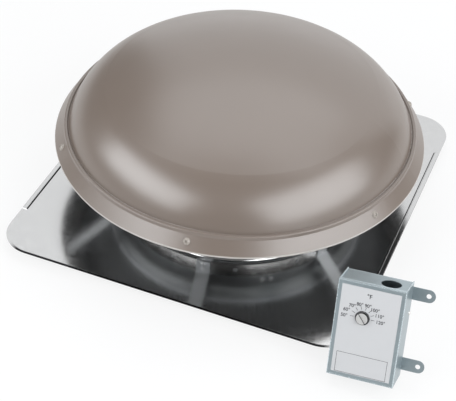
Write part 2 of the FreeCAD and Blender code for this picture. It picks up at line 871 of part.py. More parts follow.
def planform():
    half, root_half = tip_chord / 2, root_chord / 2
    points = [(blade_root_radius, -root_half), (blade_tip_radius, -half),
              (blade_tip_radius, half), (blade_root_radius, root_half)]
    corners = {0: blade_root_corner, 1: blade_corner, 2: blade_corner, 3: blade_root_corner}
    flat = profile_face(points, corners)
    flat.rotate(ORIGIN, V(1, 0, 0), -90)
    flat.translate(V(0, 0, blade_mid_z - blade_tool_height / 2))
    return flat.extrude(V(0, 0, blade_tool_height))


def fan_blade():
    low = V(0, 0, blade_mid_z - blade_tool_height / 2)
    sweep = Part.makeCylinder(blade_tip_radius, blade_tool_height, low)
    blade = blade_loft(0.0, blade_sheet).common(planform()).common(sweep)
    return one_solid(blade.cut(blade_rivet_holes()))


disc_top = blade_mid_z - (root_camber + blade_gap) * math.cos(math.radians(root_pitch))


def hub_rivet_holes():
    start = V(hub_rivet_circle, 0, disc_top - wall_tool)
    hole = Part.makeCylinder(rivet_radius + hole_fit, 2 * wall_tool, start)
    return Part.Compound(ring_of(hole, blade_count, hub_rivet_turn))


def fan_spider():
    arm = blade_loft(-blade_gap - spider_sheet, -blade_gap)
    corner = V(spider_arm_start, -spider_arm_width / 2, blade_mid_z - blade_tool_height / 2)
    keep = Part.makeBox(spider_arm_reach - spider_arm_start, spider_arm_width, blade_tool_height, corner)
    arm = arm.common(keep).cut(blade_rivet_holes())
    plate = disc(spider_disc_radius, spider_sheet, disc_top - spider_sheet, hub_radius + hole_fit)
    body = fused([plate] + ring_of(arm, blade_count))
    return one_solid(body.cut(hub_rivet_holes()))


def fan_hub():
    low = disc_top - hub_below
    body = disc(hub_radius, hub_length, low)
    flange = disc(hub_flange_radius, hub_flange_height, disc_top + hole_fit)
    screw_start = V(0, 0, disc_top + set_screw_up)
    screw = across(set_screw_radius + hole_fit, hub_radius, screw_start, V(1, 0, 0))
    body = fused([body, flange]).cut(Part.makeCylinder(shaft_radius, hub_length, V(0, 0, low)))
    return one_solid(body.cut(screw).cut(hub_rivet_holes()))


def hub_set_screw():
    start = V(shaft_radius + hole_fit, 0, disc_top + set_screw_up)
    return across(set_screw_radius, hub_radius - shaft_radius, start, V(1, 0, 0))


def fan_rivets():
    grip = spider_sheet + hub_flange_height + 3 * hole_fit
    rivet = fastener(rivet_radius, grip, rivet_head_radius, rivet_head_height,
                     rivet_tail_radius, rivet_tail_height)
    rivet.translate(V(hub_rivet_circle, 0, disc_top + hub_flange_height + 2 * hole_fit))
    rivets = ring_of(rivet, blade_count, hub_rivet_turn)
    grip = spider_sheet + blade_gap + blade_sheet + 2 * blade_rivet_gap
    rivet = fastener(rivet_radius, grip, rivet_head_radius, rivet_head_height,
                     rivet_tail_radius, rivet_tail_height)
    for x in blade_rivet_radii:
        place, normal = blade_middle(x)
        seated = aimed(rivet, place + normal * (blade_sheet + blade_rivet_gap), normal)
        rivets += ring_of(seated, blade_count)
    return rivets


# Thermostat box, drawn upright with its back on Y = 0, its left side at X = 0 and its foot at
# Z = 0. Then it is tipped on its left corner, leaned back on the flashing and set down.
base_inset = box_sheet + box_fit
box_turn = (FreeCAD.Rotation(UP, box_yaw) * FreeCAD.Rotation(V(1, 0, 0), -box_lean)
            * FreeCAD.Rotation(V(0, 1, 0), -box_tip))


def box_foot():
    contact = math.radians(box_contact_angle)
    edge = V(flashing_x / 2 - corner_radius + corner_radius * math.cos(contact),
             -(flashing_y / 2 - corner_radius) + corner_radius * math.sin(contact), flashing_sheet)
    left_corners = (V(base_inset, 0, cover_rise), V(0, -base_inset, 0))
    lowest = min(box_turn.multVec(corner).z for corner in left_corners)
    across, back, up = (box_turn.multVec(way) for way in (V(1, 0, 0), V(0, 1, 0), UP))
    foot = edge - across * base_inset - back * box_contact_gap
    return foot - up * ((foot.z + throat_drop + lowest) / up.z)


box_place = FreeCAD.Placement(box_foot(), box_turn)


def set_down(shape):
    copy = shape.copy()
    copy.Placement = box_place * copy.Placement
    return copy


def box_block(x0, x1, y0, y1, z0, z1):
    return Part.makeBox(x1 - x0, y1 - y0, z1 - z0, V(x0, y0, z0))


def box_bar(radius, x, z, y0, y1):
    return across(radius, y1 - y0, V(x, y0, z), V(0, 1, 0))


front_face = -box_depth
dial_up = box_height - dial_drop
tab_up = box_height - tab_drop
ear_heights = ((box_height - ear_hole_spacing) / 2, (box_height + ear_hole_spacing) / 2)


def thermostat_base():
    low, high = cover_rise, box_height - cover_rise
    left, right = base_inset, box_width - base_inset
    front = front_face + box_sheet + box_fit
    pieces = [box_block(left, right, -box_sheet, 0, low, high),
              box_block(left, right, front, 0, low, low + box_sheet),
              box_block(left, right, front, 0, high - box_sheet, high)]
    tip = box_width + ear_reach - ear_width / 2
    for z in ear_heights:
        pieces.append(box_block(right - box_sheet, tip, -box_sheet, 0, z - ear_width / 2, z + ear_width / 2))
        pieces.append(box_bar(ear_width / 2, tip, z, -box_sheet, 0))
    for side in (left, right - box_sheet):
        pieces.append(box_block(side, side + box_sheet, -tab_depth, 0, tab_up - tab_width / 2,
                                tab_up + tab_width / 2))
    holes = [box_bar(ear_hole_radius, box_width + ear_hole_reach, z, -box_sheet, 0) for z in ear_heights]
    knockout = V(box_width - knockout_inset, -box_depth / 2, high - box_sheet)
    holes += [across(knockout_radius, box_sheet, knockout, UP), side_screw_hole()]
    return set_down(one_solid(fused(pieces).cut(Part.Compound(holes))))


def side_screw_hole():
    return across(cover_screw_radius + hole_fit, box_width, V(0, -tab_depth / 2, tab_up), V(1, 0, 0))


def bushing_hole():
    start = front_face - label_sheet
    return box_bar(bushing_radius + hole_fit, dial_across, dial_up, start, start + bushing_spacer)


def thermostat_cover():
    pieces = [box_block(0, box_width, front_face, front_face + box_sheet, 0, box_height)]
    for side in (0, box_width - box_sheet):
        pieces.append(box_block(side, side + box_sheet, front_face, -base_inset, 0, box_height))
    for z in (0, box_height - box_sheet):
        pieces.append(box_block(0, box_width, front_face, front_face + cover_lip, z, z + box_sheet))
    body = fused(pieces)
    corners = [e for e in body.Edges if e.Length > box_height - box_sheet
               and all(abs(v.Y - front_face) < hole_fit for v in e.Vertexes)]
    body = body.makeFillet(cover_corner, corners)
    return set_down(one_solid(body.cut(bushing_hole()).cut(side_screw_hole())))


def thermostat_label():
    body = box_block(label_margin, box_width - label_margin, front_face - label_sheet, front_face,
                     label_margin, box_height - label_margin)
    return set_down(body.cut(bushing_hole()))


def cover_screws():
    screw = fastener(cover_screw_radius, cover_screw_length, cover_screw_head, cover_screw_head_height)
    left = aimed(screw, V(-hole_fit, -tab_depth / 2, tab_up), V(-1, 0, 0))
    right = aimed(screw, V(box_width + hole_fit, -tab_depth / 2, tab_up), V(1, 0, 0))
    return [set_down(left), set_down(right)]


# Switch behind the front: its body hangs on the bushing, and the dial's shaft runs through.
flange_front = front_face + box_sheet
switch_front = flange_front + bushing_spacer
switch_back = switch_front + switch_depth
shaft_bore = dial_shaft_radius + dial_running_fit


def dial_bushing():
    start = front_face - label_sheet
    body = box_bar(bushing_radius, dial_across, dial_up, start, switch_front)
    body = body.fuse(box_bar(bushing_flange, dial_across, dial_up, flange_front, switch_front))
    bore = box_bar(shaft_bore, dial_across, dial_up, start, switch_front)
    return set_down(one_solid(body.removeSplitter().cut(bore)))


def switch_body():
    left, right = dial_across - switch_width / 2, dial_across + switch_width / 2
    low, high = dial_up - switch_height / 2, dial_up + switch_height / 2
    body = box_block(left, right, switch_front, switch_back, low, high)
    corners = [e for e in body.Edges if abs(e.Vertexes[0].Y - e.Vertexes[1].Y) > switch_depth / 2]
    body = body.makeFillet(switch_corner, corners)
    tools = [box_block(left, right, switch_front, terminal_face, low, low + terminal_step),
             box_bar(shaft_bore, dial_across, dial_up, switch_front, switch_back)]
    tools += [box_bar(terminal_radius + hole_fit, x, terminal_z, terminal_face, switch_back)
              for x in terminal_xs]
    return set_down(one_solid(body.cut(Part.Compound(tools))))


def adjusting_dial():
    back = front_face - label_sheet - dial_gap
    top = back - dial_proud
    head = box_bar(dial_radius, dial_across, dial_up, top, back)
    rim = [e for e in head.Edges if len(e.Vertexes) == 1 and abs(e.Vertexes[0].Y - top) < hole_fit]
    head = head.makeChamfer(dial_chamfer, rim)
    shaft = box_bar(dial_shaft_radius, dial_across, dial_up, back, switch_front + dial_shaft_tail)
    slot = box_block(-dial_radius, dial_radius, top, top + dial_slot_depth, -dial_slot_width / 2,
                     dial_slot_width / 2)
    slot.rotate(ORIGIN, V(0, 1, 0), -dial_rest_angle)
    slot.translate(V(dial_across, 0, dial_up))
    return set_down(one_solid(head.fuse(shaft).removeSplitter().cut(slot)))


def bimetal_strip():
    left, right = dial_across - bimetal_width / 2, dial_across + bimetal_width / 2
    low, high = dial_up - bimetal_length / 2, dial_up + bimetal_length / 2
    stand = switch_back + bimetal_post
    foot = box_block(left, right, switch_back, stand, high - bimetal_foot, high)
    blade = box_block(left, right, stand, stand + bimetal_sheet, low, high)
    return set_down(fused([foot, blade]))


terminal_face = switch_front + switch_depth / 2
terminal_z = dial_up - switch_height / 2 + terminal_step / 2
terminal_xs = (dial_across - switch_width / 4, dial_across + switch_width / 4)


def terminal_screws():
    screw = fastener(terminal_radius, terminal_length, terminal_head, terminal_head_height)
    places = [V(x, terminal_face - hole_fit, terminal_z) for x in terminal_xs]
    return [set_down(aimed(screw, place, V(0, -1, 0))) for place in places]


save("flashing", flashing())
save("throat_ring", throat_ring())
save("throat_rivets", *throat_rivets())
save("dome", dome())
save("dome_screws", *dome_screws())
save("dome_nuts", *dome_nuts())
for number, leg in enumerate(ring_of(dome_leg(), leg_count, leg_turn), 1):
    save("dome_leg_%d" % number, leg)
save("leg_rivets", *leg_rivets())
save("bird_screen", bird_screen())
for number, arm in enumerate(ring_of(motor_arm(), arm_count, arm_turn), 1):
    save("motor_arm_%d" % number, arm)
save("arm_rivets", *arm_rivets())
save("motor_grommets", *motor_grommets())
save("motor_mount_bolts", *motor_mount_bolts())
save("motor_lower_bell", motor_lower_bell())
save("motor_upper_bell", motor_upper_bell())
save("motor_shell", motor_shell())
save("lead_bushing", lead_bushing())
save("lower_bearing", bearing(motor_bottom))
save("upper_bearing", bearing(motor_top - bearing_length))
save("stator_core", stator_core())
save("stator_winding", stator_winding())
save("motor_through_bolts", *through_bolts())
save("rotor_core", rotor_core())
save("motor_shaft", motor_shaft())
save("shaft_collars", *shaft_collars())
save("fan_hub", fan_hub())
save("hub_set_screw", hub_set_screw())
save("fan_spider", fan_spider())
for number, blade in enumerate(ring_of(fan_blade(), blade_count), 1):
    save("fan_blade_%d" % number, blade)
save("fan_rivets", *fan_rivets())
save("thermostat_base", thermostat_base())
save("thermostat_cover", thermostat_cover())
save("thermostat_label", thermostat_label())
save("cover_screws", *cover_screws())
save("dial_bushing", dial_bushing())
save("adjusting_dial", adjusting_dial())
save("switch_body", switch_body())
save("bimetal_strip", bimetal_strip())
save("terminal_screws", *terminal_screws())
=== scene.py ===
import json
import math

import bmesh
import bpy
from mathutils import Matrix, Vector


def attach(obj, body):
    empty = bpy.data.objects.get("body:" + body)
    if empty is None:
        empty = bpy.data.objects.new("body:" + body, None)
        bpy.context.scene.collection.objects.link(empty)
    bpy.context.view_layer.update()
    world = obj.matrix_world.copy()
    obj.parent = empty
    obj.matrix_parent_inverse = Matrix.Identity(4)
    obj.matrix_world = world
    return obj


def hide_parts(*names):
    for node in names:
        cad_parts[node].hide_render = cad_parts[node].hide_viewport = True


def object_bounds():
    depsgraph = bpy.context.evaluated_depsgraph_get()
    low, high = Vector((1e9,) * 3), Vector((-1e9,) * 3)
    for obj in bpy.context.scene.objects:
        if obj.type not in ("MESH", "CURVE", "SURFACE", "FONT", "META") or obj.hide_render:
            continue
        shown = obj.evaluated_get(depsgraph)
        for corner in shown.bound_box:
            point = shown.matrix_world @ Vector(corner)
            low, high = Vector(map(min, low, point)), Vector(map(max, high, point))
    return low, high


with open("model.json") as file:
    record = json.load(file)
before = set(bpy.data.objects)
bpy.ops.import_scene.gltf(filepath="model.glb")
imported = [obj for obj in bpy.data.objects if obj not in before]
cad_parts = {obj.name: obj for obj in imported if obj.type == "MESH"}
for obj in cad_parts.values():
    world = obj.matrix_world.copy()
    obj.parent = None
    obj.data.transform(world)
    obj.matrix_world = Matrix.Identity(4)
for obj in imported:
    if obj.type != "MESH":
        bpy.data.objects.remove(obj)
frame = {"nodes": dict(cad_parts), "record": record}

cad_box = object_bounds()
nodes = frame["nodes"]
record = frame["record"]


def row_named(rows, name):
    return [row for row in rows if row["name"] == name][0]


dial_joint = row_named(record["behaviour"]["joints"], "dial_turn")
dial_axis = Vector(dial_joint["axis"]).normalized()
dial_place = Vector(dial_joint["pos_m"])

# The knock-out opens through the top of the thermostat's box, so its axis is the box's way up.
box_upward = Vector(row_named(record["mounts"], "knock_out")["axis"]).normalized()

MM = 0.001
full_turn = 2 * math.pi

# Camera, in metres and degrees, for a picture of 456 x 401
picture_width = 456
camera_place = Vector((0.5675, -1.5668, 1.4179))
camera_azimuth = 20.391
camera_elevation = 41.282
camera_roll = 2.651
focal_pixels = 1333.9
sensor_width = 36.0

# Lines that the finishes follow, in metres, measured on the solids
crown_centre = (0.0, 0.0, -0.228)
rim_lip = 0.1045
flashing_half = (0.286, 0.295)
flashing_corner = 0.052
hem_inner = 0.278
hem_reach = 0.205

# Bands that the finishes draw, painted shade and painted highlight among them, in metres
lip_highlight_fade = 0.0012
edge_shadow_band = 0.0044
crease_shade_inset = 0.0006
crease_shade_width = 0.0010
hem_fade = 0.002
dial_face = 0.0083
dial_fade = 0.0002

# A noise seldom leaves this span.
noise_span = (0.3, 0.7)

# Pieces that come in numbered sets
leg_count = 6
arm_count = 3
blade_count = 4

# Floor and studio, with lengths in metres
floor_size = 60.0
floor_glow = 0.79
world_level = 0.17
studio_tint = (0.98, 1.0, 1.02)
lamp_target = Vector((0, 0, 0.1))

# Pan-head screws through the dome's skirt, in degrees and millimetres
screw_count = 6
screw_turn = 36.0
screw_tilt = 53.75
screw_seat = (283.7, 114.9)
drive_first = 17.0
drive_step = 31.0
head_radius = 5.6
head_height = 3.6
shank_radius = 2.4
shank_length = 10.0
thread_pitch = 0.8
thread_start = 0.5
thread_end = 1.0
recess_reach = 2.9
recess_width = 1.15
recess_depth = 1.7
recess_overlap = 1.0
screw_steps = 40
head_steps = 8

# Shares of the screw's radii, and of its recess's reach at the foot and at the mouth
head_undercut = 0.97
thread_root = 0.84
shank_tip = 0.8
recess_foot = 0.55
recess_mouth = 1.25

# Woven screen on a cone from the throat's flare up to the dome, in millimetres
screen_low = (203.7, 73.3)
screen_high = (262.0, 138.6)
screen_spokes = 144
screen_rings = 11
wire_radius = 0.5
wire_sides = 6
band_width = 5.0
band_sheet = 1.6
band_steps = 180

# Hem beads, in millimetres
bead_radius = 0.7
bead_height = 1.5
bead_steps = 24
bead_sides = 8

# Thermostat box, in millimetres from the dial's centre: across, up, and out of the label
box_across = (-40.0, 56.0)
box_up = (-93.3, 50.7)
box_out = (-51.3, -0.3)
lip_reach = 4.0
base_step = 2.2
fold_radius = 0.95
fold_inset = 0.85
fold_sides = 12

# Print on the thermostat's label, in millimetres from the dial's centre
first_number = 50
number_step = 10
number_count = 8
number_size = 7.0
number_ellipse = (25.9, 20.8)
number_drop = 1.2
number_weight = 0.14
unit_size = 8.75
unit_place = (6.0, 33.0)
degree_sign = "\u00b0"
tick_reach = (12.6, 17.4)
tick_width = 0.7
ring_radii = (9.2, 10.4)
ring_steps = 64
frame_corners = ((-29.0, -86.5), (44.0, -56.0))
frame_width = 0.55
print_height = 0.04
print_gap = 0.02


# The way from the scene's middle to a place at an azimuth and elevation; azimuth 0 is the front.
def direction(azimuth, elevation):
    swing = math.radians(azimuth)
    rise = math.radians(elevation)
    return Vector((math.sin(swing) * math.cos(rise), -math.cos(swing) * math.cos(rise), math.sin(rise)))


def new_object(name, data):
    item = bpy.data.objects.new(name, data)
    bpy.context.scene.collection.objects.link(item)
    return item


def make_camera():
    back = direction(camera_azimuth, camera_elevation)
    swing = math.radians(camera_azimuth)
    roll = math.radians(camera_roll)
    level = Vector((math.cos(swing), math.sin(swing), 0))
    upright = back.cross(level)
    right = level * math.cos(roll) + upright * math.sin(roll)
    top = upright * math.cos(roll) - level * math.sin(roll)
    data = bpy.data.cameras.new("camera")
    data.sensor_width = sensor_width
    data.lens = sensor_width * focal_pixels / picture_width
    camera = new_object("camera", data)
    axes = Matrix((right, top, back)).transposed().to_4x4()
    camera.matrix_world = Matrix.Translation(camera_place) @ axes
    bpy.context.scene.camera = camera


# Every material starts from a principled shader and follows its object's own coordinates.
class Look:
    def __init__(self, name, colour, roughness, metallic=0.0, **constants):
        self.material = bpy.data.materials.new(name)
        self.material.use_nodes = True
        self.tree = self.material.node_tree
        self.shader = self.tree.nodes["Principled BSDF"]
        self.shader.inputs["Base Color"].default_value = (*colour, 1.0)
        self.shader.inputs["Roughness"].default_value = roughness
        self.shader.inputs["Metallic"].default_value = metallic
        for socket, value in constants.items():
            self.shader.inputs[socket.replace("_", " ")].default_value = value
        self.place = self.add("ShaderNodeTexCoord").outputs["Object"]

    def add(self, kind, **settings):
        node = self.tree.nodes.new(kind)
        for key, value in settings.items():
            setattr(node, key, value)
        return node

    def feed(self, node, socket, value):
        if isinstance(value, bpy.types.NodeSocket):
            self.tree.links.new(value, node.inputs[socket])
        else:
            node.inputs[socket].default_value = value

    def stretched(self, scale):
        node = self.add("ShaderNodeMapping")
        self.feed(node, "Vector", self.place)
        self.feed(node, "Scale", scale)
        return node.outputs["Vector"]

    def noise(self, scale, detail=3.0, place=None, rough=0.55):
        node = self.add("ShaderNodeTexNoise")
        self.feed(node, "Vector", place or self.place)
        self.feed(node, "Scale", scale)
        self.feed(node, "Detail", detail)
        self.feed(node, "Roughness", rough)
        return node.outputs["Fac"]

    def cells(self, scale):
        node = self.add("ShaderNodeTexVoronoi")
        self.feed(node, "Vector", self.place)
        self.feed(node, "Scale", scale)
        grey = self.add("ShaderNodeSeparateColor")
        self.feed(grey, "Color", node.outputs["Color"])
        return grey.outputs["Red"]

    def layers(self, pitch, distortion):
        node = self.add("ShaderNodeTexWave", wave_type="BANDS", bands_direction="Z")
        self.feed(node, "Vector", self.place)
        self.feed(node, "Scale", 1.0 / pitch)
        self.feed(node, "Distortion", distortion)
        return node.outputs["Fac"]

    def ranged(self, value, low, high, from_low=0.0, from_high=1.0):
        node = self.add("ShaderNodeMapRange")
        self.feed(node, "Value", value)
        self.feed(node, "From Min", from_low)
        self.feed(node, "From Max", from_high)
        self.feed(node, "To Min", low)
        self.feed(node, "To Max", high)
        return node.outputs["Result"]

    # A noise drawn out to run from low to high
    def spread(self, noise, low, high):
        return self.ranged(noise, low, high, *noise_span)

    # The first value, with the second added by weight
    def sum_of(self, first, second, weight):
        node = self.add("ShaderNodeMath", operation="MULTIPLY_ADD")
        self.feed(node, 0, second)
        self.feed(node, 1, weight)
        self.feed(node, 2, first)
        return node.outputs["Value"]

    def calc(self, operation, first, second=0.0):
        node = self.add("ShaderNodeMath", operation=operation)
        self.feed(node, 0, first)
        self.feed(node, 1, second)
        return node.outputs["Value"]

    def vectors(self, operation, first, second=None):
        node = self.add("ShaderNodeVectorMath", operation=operation)
        self.feed(node, 0, first)
        if second is not None:
            self.feed(node, 1, second)
        return node.outputs

    def along(self, axis):
        node = self.add("ShaderNodeSeparateXYZ")
        self.feed(node, "Vector", self.place)
        return node.outputs[axis]

    # How far a point lies from the middle along one axis
    def off_centre(self, axis):
        return self.calc("ABSOLUTE", self.along(axis))

    # How far a point lies from a line through a centre
    def from_axis(self, centre, way):
        arm = self.vectors("SUBTRACT", self.place, centre)["Vector"]
        across = self.vectors("CROSS_PRODUCT", arm, way)["Vector"]
        return self.vectors("LENGTH", across)["Value"]

    # 1 on a line across an axis, fading to 0 at half its width on either side
    def line(self, distance, centre, half_width):
        away = self.calc("ABSOLUTE", self.calc("SUBTRACT", distance, centre))
        return self.ranged(away, 1.0, 0.0, from_low=half_width * 0.7, from_high=half_width)

    def blended(self, factor, low, high):
        node = self.add("ShaderNodeMix", data_type="RGBA")
        self.feed(node, "Factor", factor)
        for key, value in (("A", low), ("B", high)):
            socket = [s for s in node.inputs if s.name == key and s.type == "RGBA"][0]
            if isinstance(value, bpy.types.NodeSocket):
                self.tree.links.new(value, socket)
            else:
                socket.default_value = (*value, 1.0)
        return [s for s in node.outputs if s.type == "RGBA"][0]

    # The cosine between the surface's normal and a way
    def facing(self, way):
        normal = self.add("ShaderNodeNewGeometry").outputs["Normal"]
        return self.vectors("DOT_PRODUCT", way, normal)["Value"]

    # 1 where the surface faces away from a point, 0 where it faces it
    def outward(self, centre):
        arm = self.vectors("SUBTRACT", self.place, centre)["Vector"]
        way = self.vectors("NORMALIZE", arm)["Vector"]
        return self.ranged(self.facing(way), 0.0, 1.0, from_low=-0.35, from_high=-0.25)

    def colour(self, value):
        self.feed(self.shader, "Base Color", value)

    def roughness(self, value):
        self.feed(self.shader, "Roughness", value)

    def bump(self, height, distance, strength):
        node = self.add("ShaderNodeBump")
        self.feed(node, "Height", height)
        self.feed(node, "Distance", distance)
        self.feed(node, "Strength", strength)
        self.feed(self.shader, "Normal", node.outputs["Normal"])


def shade_of(colour, factor):
    return tuple(channel * factor for channel in colour)


# The dome is satin taupe outside, with a painted highlight as a paler band on its rim's lip, and painted
# shade as near-black inside.
def dome_paint():
    base = (0.143, 0.112, 0.092)
    # A pale colour that paints a highlight on the rim's lip
    wear_and_highlight = (0.50, 0.475, 0.45)
    # A near-black colour that paints shade inside the dome
    inside_shade = (0.012, 0.0125, 0.012)
    look = Look("dome_paint", base, roughness=0.32, IOR=1.82)
    cloud = look.noise(scale=9.0, detail=2.0)
    outside = look.blended(cloud, shade_of(base, 0.96), shade_of(base, 1.05))
    height = look.along("Z")
    # Painted highlight on the rim's lip, fading out upward
    lip_highlight = look.ranged(height, 0.8, 0.0, from_low=rim_lip - lip_highlight_fade, from_high=rim_lip)
    outside = look.blended(lip_highlight, outside, wear_and_highlight)
    # Faces turned toward the crown's centre, inside the dome, get the painted shade.
    look.colour(look.blended(look.outward(crown_centre), inside_shade, outside))
    look.roughness(look.spread(look.noise(scale=26.0, detail=2.0), 0.31, 0.33))
    look.bump(look.noise(scale=900.0, detail=2.0), distance=0.00001, strength=0.3)
    return look.material


# Hot-dipped zinc: faint spangle, rolling lines and a slight waviness of the sheet
def zinc_look(name, base, smooth, dull, spangle=160.0, wave=0.0001, metallic=1.0):
    look = Look(name, base, smooth, metallic)
    grains = look.cells(spangle)
    rolled = look.noise(scale=14.0, detail=5.0, place=look.stretched((1.0, 26.0, 1.0)))
    mottle = look.ranged(look.sum_of(grains, rolled, weight=1.2), 0.0, 1.0, from_low=0.1, from_high=1.9)
    tone = look.blended(mottle, shade_of(base, 0.95), base)
    gloss = look.ranged(mottle, smooth, dull)
    look.colour(tone)
    look.roughness(gloss)
    look.bump(look.noise(scale=7.0, detail=1.0), distance=wave, strength=0.6)
    return look, tone, gloss


def galvanised(name, base, **settings):
    return zinc_look(name, base, **settings)[0].material


# The flashing's sheet, with a painted shadow along its cut front edge and painted shade in the crease along
# each hem
def flashing_zinc():
    base = (0.575, 0.57, 0.565)
    shadow = (0.02, 0.02, 0.021)
    look, tone, gloss = zinc_look("sheet_zinc", base, smooth=0.12, dull=0.20)
    across = look.off_centre("X")
    deep = look.off_centre("Y")

    # How far a point lies past an inner rectangle, which is flashing_corner on the sheet's very edge
    squares = []
    for far, half in zip((across, deep), flashing_half):
        past = look.calc("MAXIMUM", look.calc("SUBTRACT", far, half - flashing_corner))
        squares.append(look.calc("MULTIPLY", past, past))
    reach = look.calc("SQRT", look.calc("ADD", *squares))
    # A painted shadow in a band along the sheet's edge
    edge_start = flashing_corner - edge_shadow_band
    edge_full = flashing_corner - edge_shadow_band * 0.7
    edge = look.ranged(reach, 0.0, 1.0, from_low=edge_start, from_high=edge_full)

    # Only the front edge gets the painted shadow, and only along its straight run.
    straight = flashing_half[0] - flashing_corner
    run_fade = straight + flashing_corner * 0.3
    run_end = straight + flashing_corner * 0.55
    run = look.ranged(across, 1.0, 0.0, from_low=run_fade, from_high=run_end)
    front = look.calc("LESS_THAN", look.along("Y"), 0.0)
    edge = look.calc("MULTIPLY", edge, look.calc("MULTIPLY", run, front))

    # Painted shade in a line along the crease inside each hem
    crease = look.line(across, hem_inner - crease_shade_inset, crease_shade_width)
    hem = look.ranged(deep, 1.0, 0.0, from_low=hem_reach - hem_fade, from_high=hem_reach)
    # The front edge's painted shadow and the creases' painted shade, drawn near-black
    painted_shade = look.calc("ADD", edge, look.calc("MULTIPLY", crease, hem))
    look.colour(look.blended(painted_shade, tone, shadow))
    look.roughness(look.sum_of(gloss, painted_shade, weight=0.3))
    return look.material


def cast_metal(name, base, roughness):
    look = Look(name, base, roughness, metallic=1.0)
    grain = look.noise(scale=520.0, detail=4.0)
    look.colour(look.blended(grain, shade_of(base, 0.82), base))
    look.roughness(look.spread(grain, roughness - 0.06, roughness + 0.10))
    look.bump(grain, distance=0.00012, strength=0.7)
    return look.material


def brushed_metal(name, base, roughness, stretch=(1.0, 1.0, 3.0), density=400.0):
    look = Look(name, base, roughness, metallic=1.0)
    lines = look.noise(scale=density, detail=6.0, place=look.stretched(stretch), rough=0.7)
    look.colour(look.blended(lines, shade_of(base, 0.84), base))
    look.roughness(look.spread(lines, roughness - 0.05, roughness + 0.12))
    look.bump(lines, distance=0.00003, strength=0.5)
    return look.material


def moulded(name, base, roughness, grain=700.0, depth=0.00003):
    look = Look(name, base, roughness)
    fine = look.noise(scale=grain)
    look.colour(look.blended(look.noise(scale=40.0), shade_of(base, 0.85), shade_of(base, 1.15)))
    look.roughness(look.spread(fine, roughness - 0.06, roughness + 0.08))
    look.bump(fine, distance=depth, strength=0.6)
    return look.material


def layered_metal(name, base, roughness, pitch):
    look = Look(name, base, roughness, metallic=1.0)
    bands = look.layers(pitch, distortion=0.6)
    look.colour(look.blended(bands, shade_of(base, 0.6), base))
    look.roughness(look.ranged(bands, roughness, roughness + 0.15))
    look.bump(bands, distance=0.0001, strength=0.7)
    return look.material


# A plated dial with a dark ring round its face and a dark knurled side, where it turns from its axis
def dial_plate():
    base = (0.90, 0.90, 0.89)
    knurled = (0.03, 0.03, 0.03)
    look = Look("dial_metal", base, roughness=0.30, metallic=1.0)
    fine = look.noise(scale=900.0, detail=4.0)
    turned = look.calc("ABSOLUTE", look.facing(dial_axis))
    side = look.ranged(turned, 1.0, 0.0, from_low=0.45, from_high=0.6)
    radius = look.from_axis(dial_place, dial_axis)
    ring = look.ranged(radius, 0.0, 1.0, from_low=dial_face - dial_fade, from_high=dial_face)
    face = look.blended(fine, shade_of(base, 0.84), base)
    look.colour(look.blended(look.calc("MAXIMUM", side, ring), face, knurled))
    look.roughness(look.ranged(fine, 0.26, 0.40))
    look.bump(fine, distance=0.00003, strength=0.5)
    return look.material


def label_film():
    base = (0.49, 0.495, 0.505)
    look = Look("label_film", base, roughness=0.42)
    look.colour(look.blended(look.noise(scale=60.0), shade_of(base, 0.96), base))
    look.roughness(look.ranged(look.noise(scale=300.0, detail=2.0), 0.36, 0.48))
    look.bump(look.noise(scale=120.0, detail=2.0), distance=0.00003, strength=0.4)
    return look.material


def print_ink():
    base = (0.022, 0.022, 0.025)
    look = Look("print_ink", base, roughness=0.5)
    wear_and_highlight = look.noise(scale=900.0)
    look.colour(look.blended(wear_and_highlight, base, shade_of(base, 2.2)))
    look.roughness(look.ranged(wear_and_highlight, 0.42, 0.6))
    return look.material


def floor_paper():
    base = (0.12, 0.12, 0.12)
    white = (1.0, 1.0, 1.0, 1.0)
    look = Look("floor_paper", base, roughness=0.75, Emission_Color=white, Emission_Strength=floor_glow)
    look.colour(look.blended(look.noise(scale=3.0, detail=2.0), shade_of(base, 0.995), base))
    return look.material


make_camera()

sheet = flashing_zinc()
ring_zinc = galvanised("ring_zinc", (0.20, 0.21, 0.215), smooth=0.34, dull=0.46, spangle=120.0)
box_zinc = galvanised("box_zinc", (0.335, 0.395, 0.42), smooth=0.30, dull=0.40, spangle=260.0,
                      wave=0.00005, metallic=0.8)
bracket_zinc = galvanised("bracket_zinc", (0.50, 0.52, 0.535), smooth=0.26, dull=0.42, spangle=220.0)
screen_zinc = galvanised("screen_zinc", (0.40, 0.42, 0.44), smooth=0.35, dull=0.5, spangle=300.0)
# A paler copy of the box's zinc, a painted highlight on its folds
fold_highlight_zinc = galvanised("fold_highlight_zinc", (0.60, 0.68, 0.71), smooth=0.20, dull=0.30, spangle=260.0,
                       wave=0.00005, metallic=0.8)
paint = dome_paint()
screw_paint = moulded("screw_paint", (0.30, 0.27, 0.24), 0.24, grain=300.0, depth=0.00001)
alloy = cast_metal("cast_alloy", (0.62, 0.63, 0.65), 0.46)
enamel = moulded("motor_enamel", (0.022, 0.022, 0.024), 0.34, grain=420.0, depth=0.00004)
blade_metal = brushed_metal("blade_metal", (0.80, 0.81, 0.82), 0.28, stretch=(1.0, 18.0, 1.0), density=60.0)
rivet_metal = brushed_metal("rivet_metal", (0.66, 0.67, 0.68), 0.34)
plated = brushed_metal("zinc_plated", (0.74, 0.73, 0.68), 0.30)
shaft_metal = brushed_metal("shaft_metal", (0.76, 0.76, 0.77), 0.20, stretch=(1.0, 1.0, 30.0), density=90.0)
core_metal = layered_metal("core_metal", (0.42, 0.43, 0.46), 0.42, pitch=0.003)
bronze = cast_metal("bearing_bronze", (0.62, 0.43, 0.23), 0.40)
copper = layered_metal("winding_copper", (0.72, 0.30, 0.12), 0.30, pitch=0.002)
brass = brushed_metal("terminal_brass", (0.80, 0.62, 0.30), 0.30)
rubber = moulded("grommet_rubber", (0.02, 0.02, 0.02), 0.7, grain=900.0, depth=0.00005)
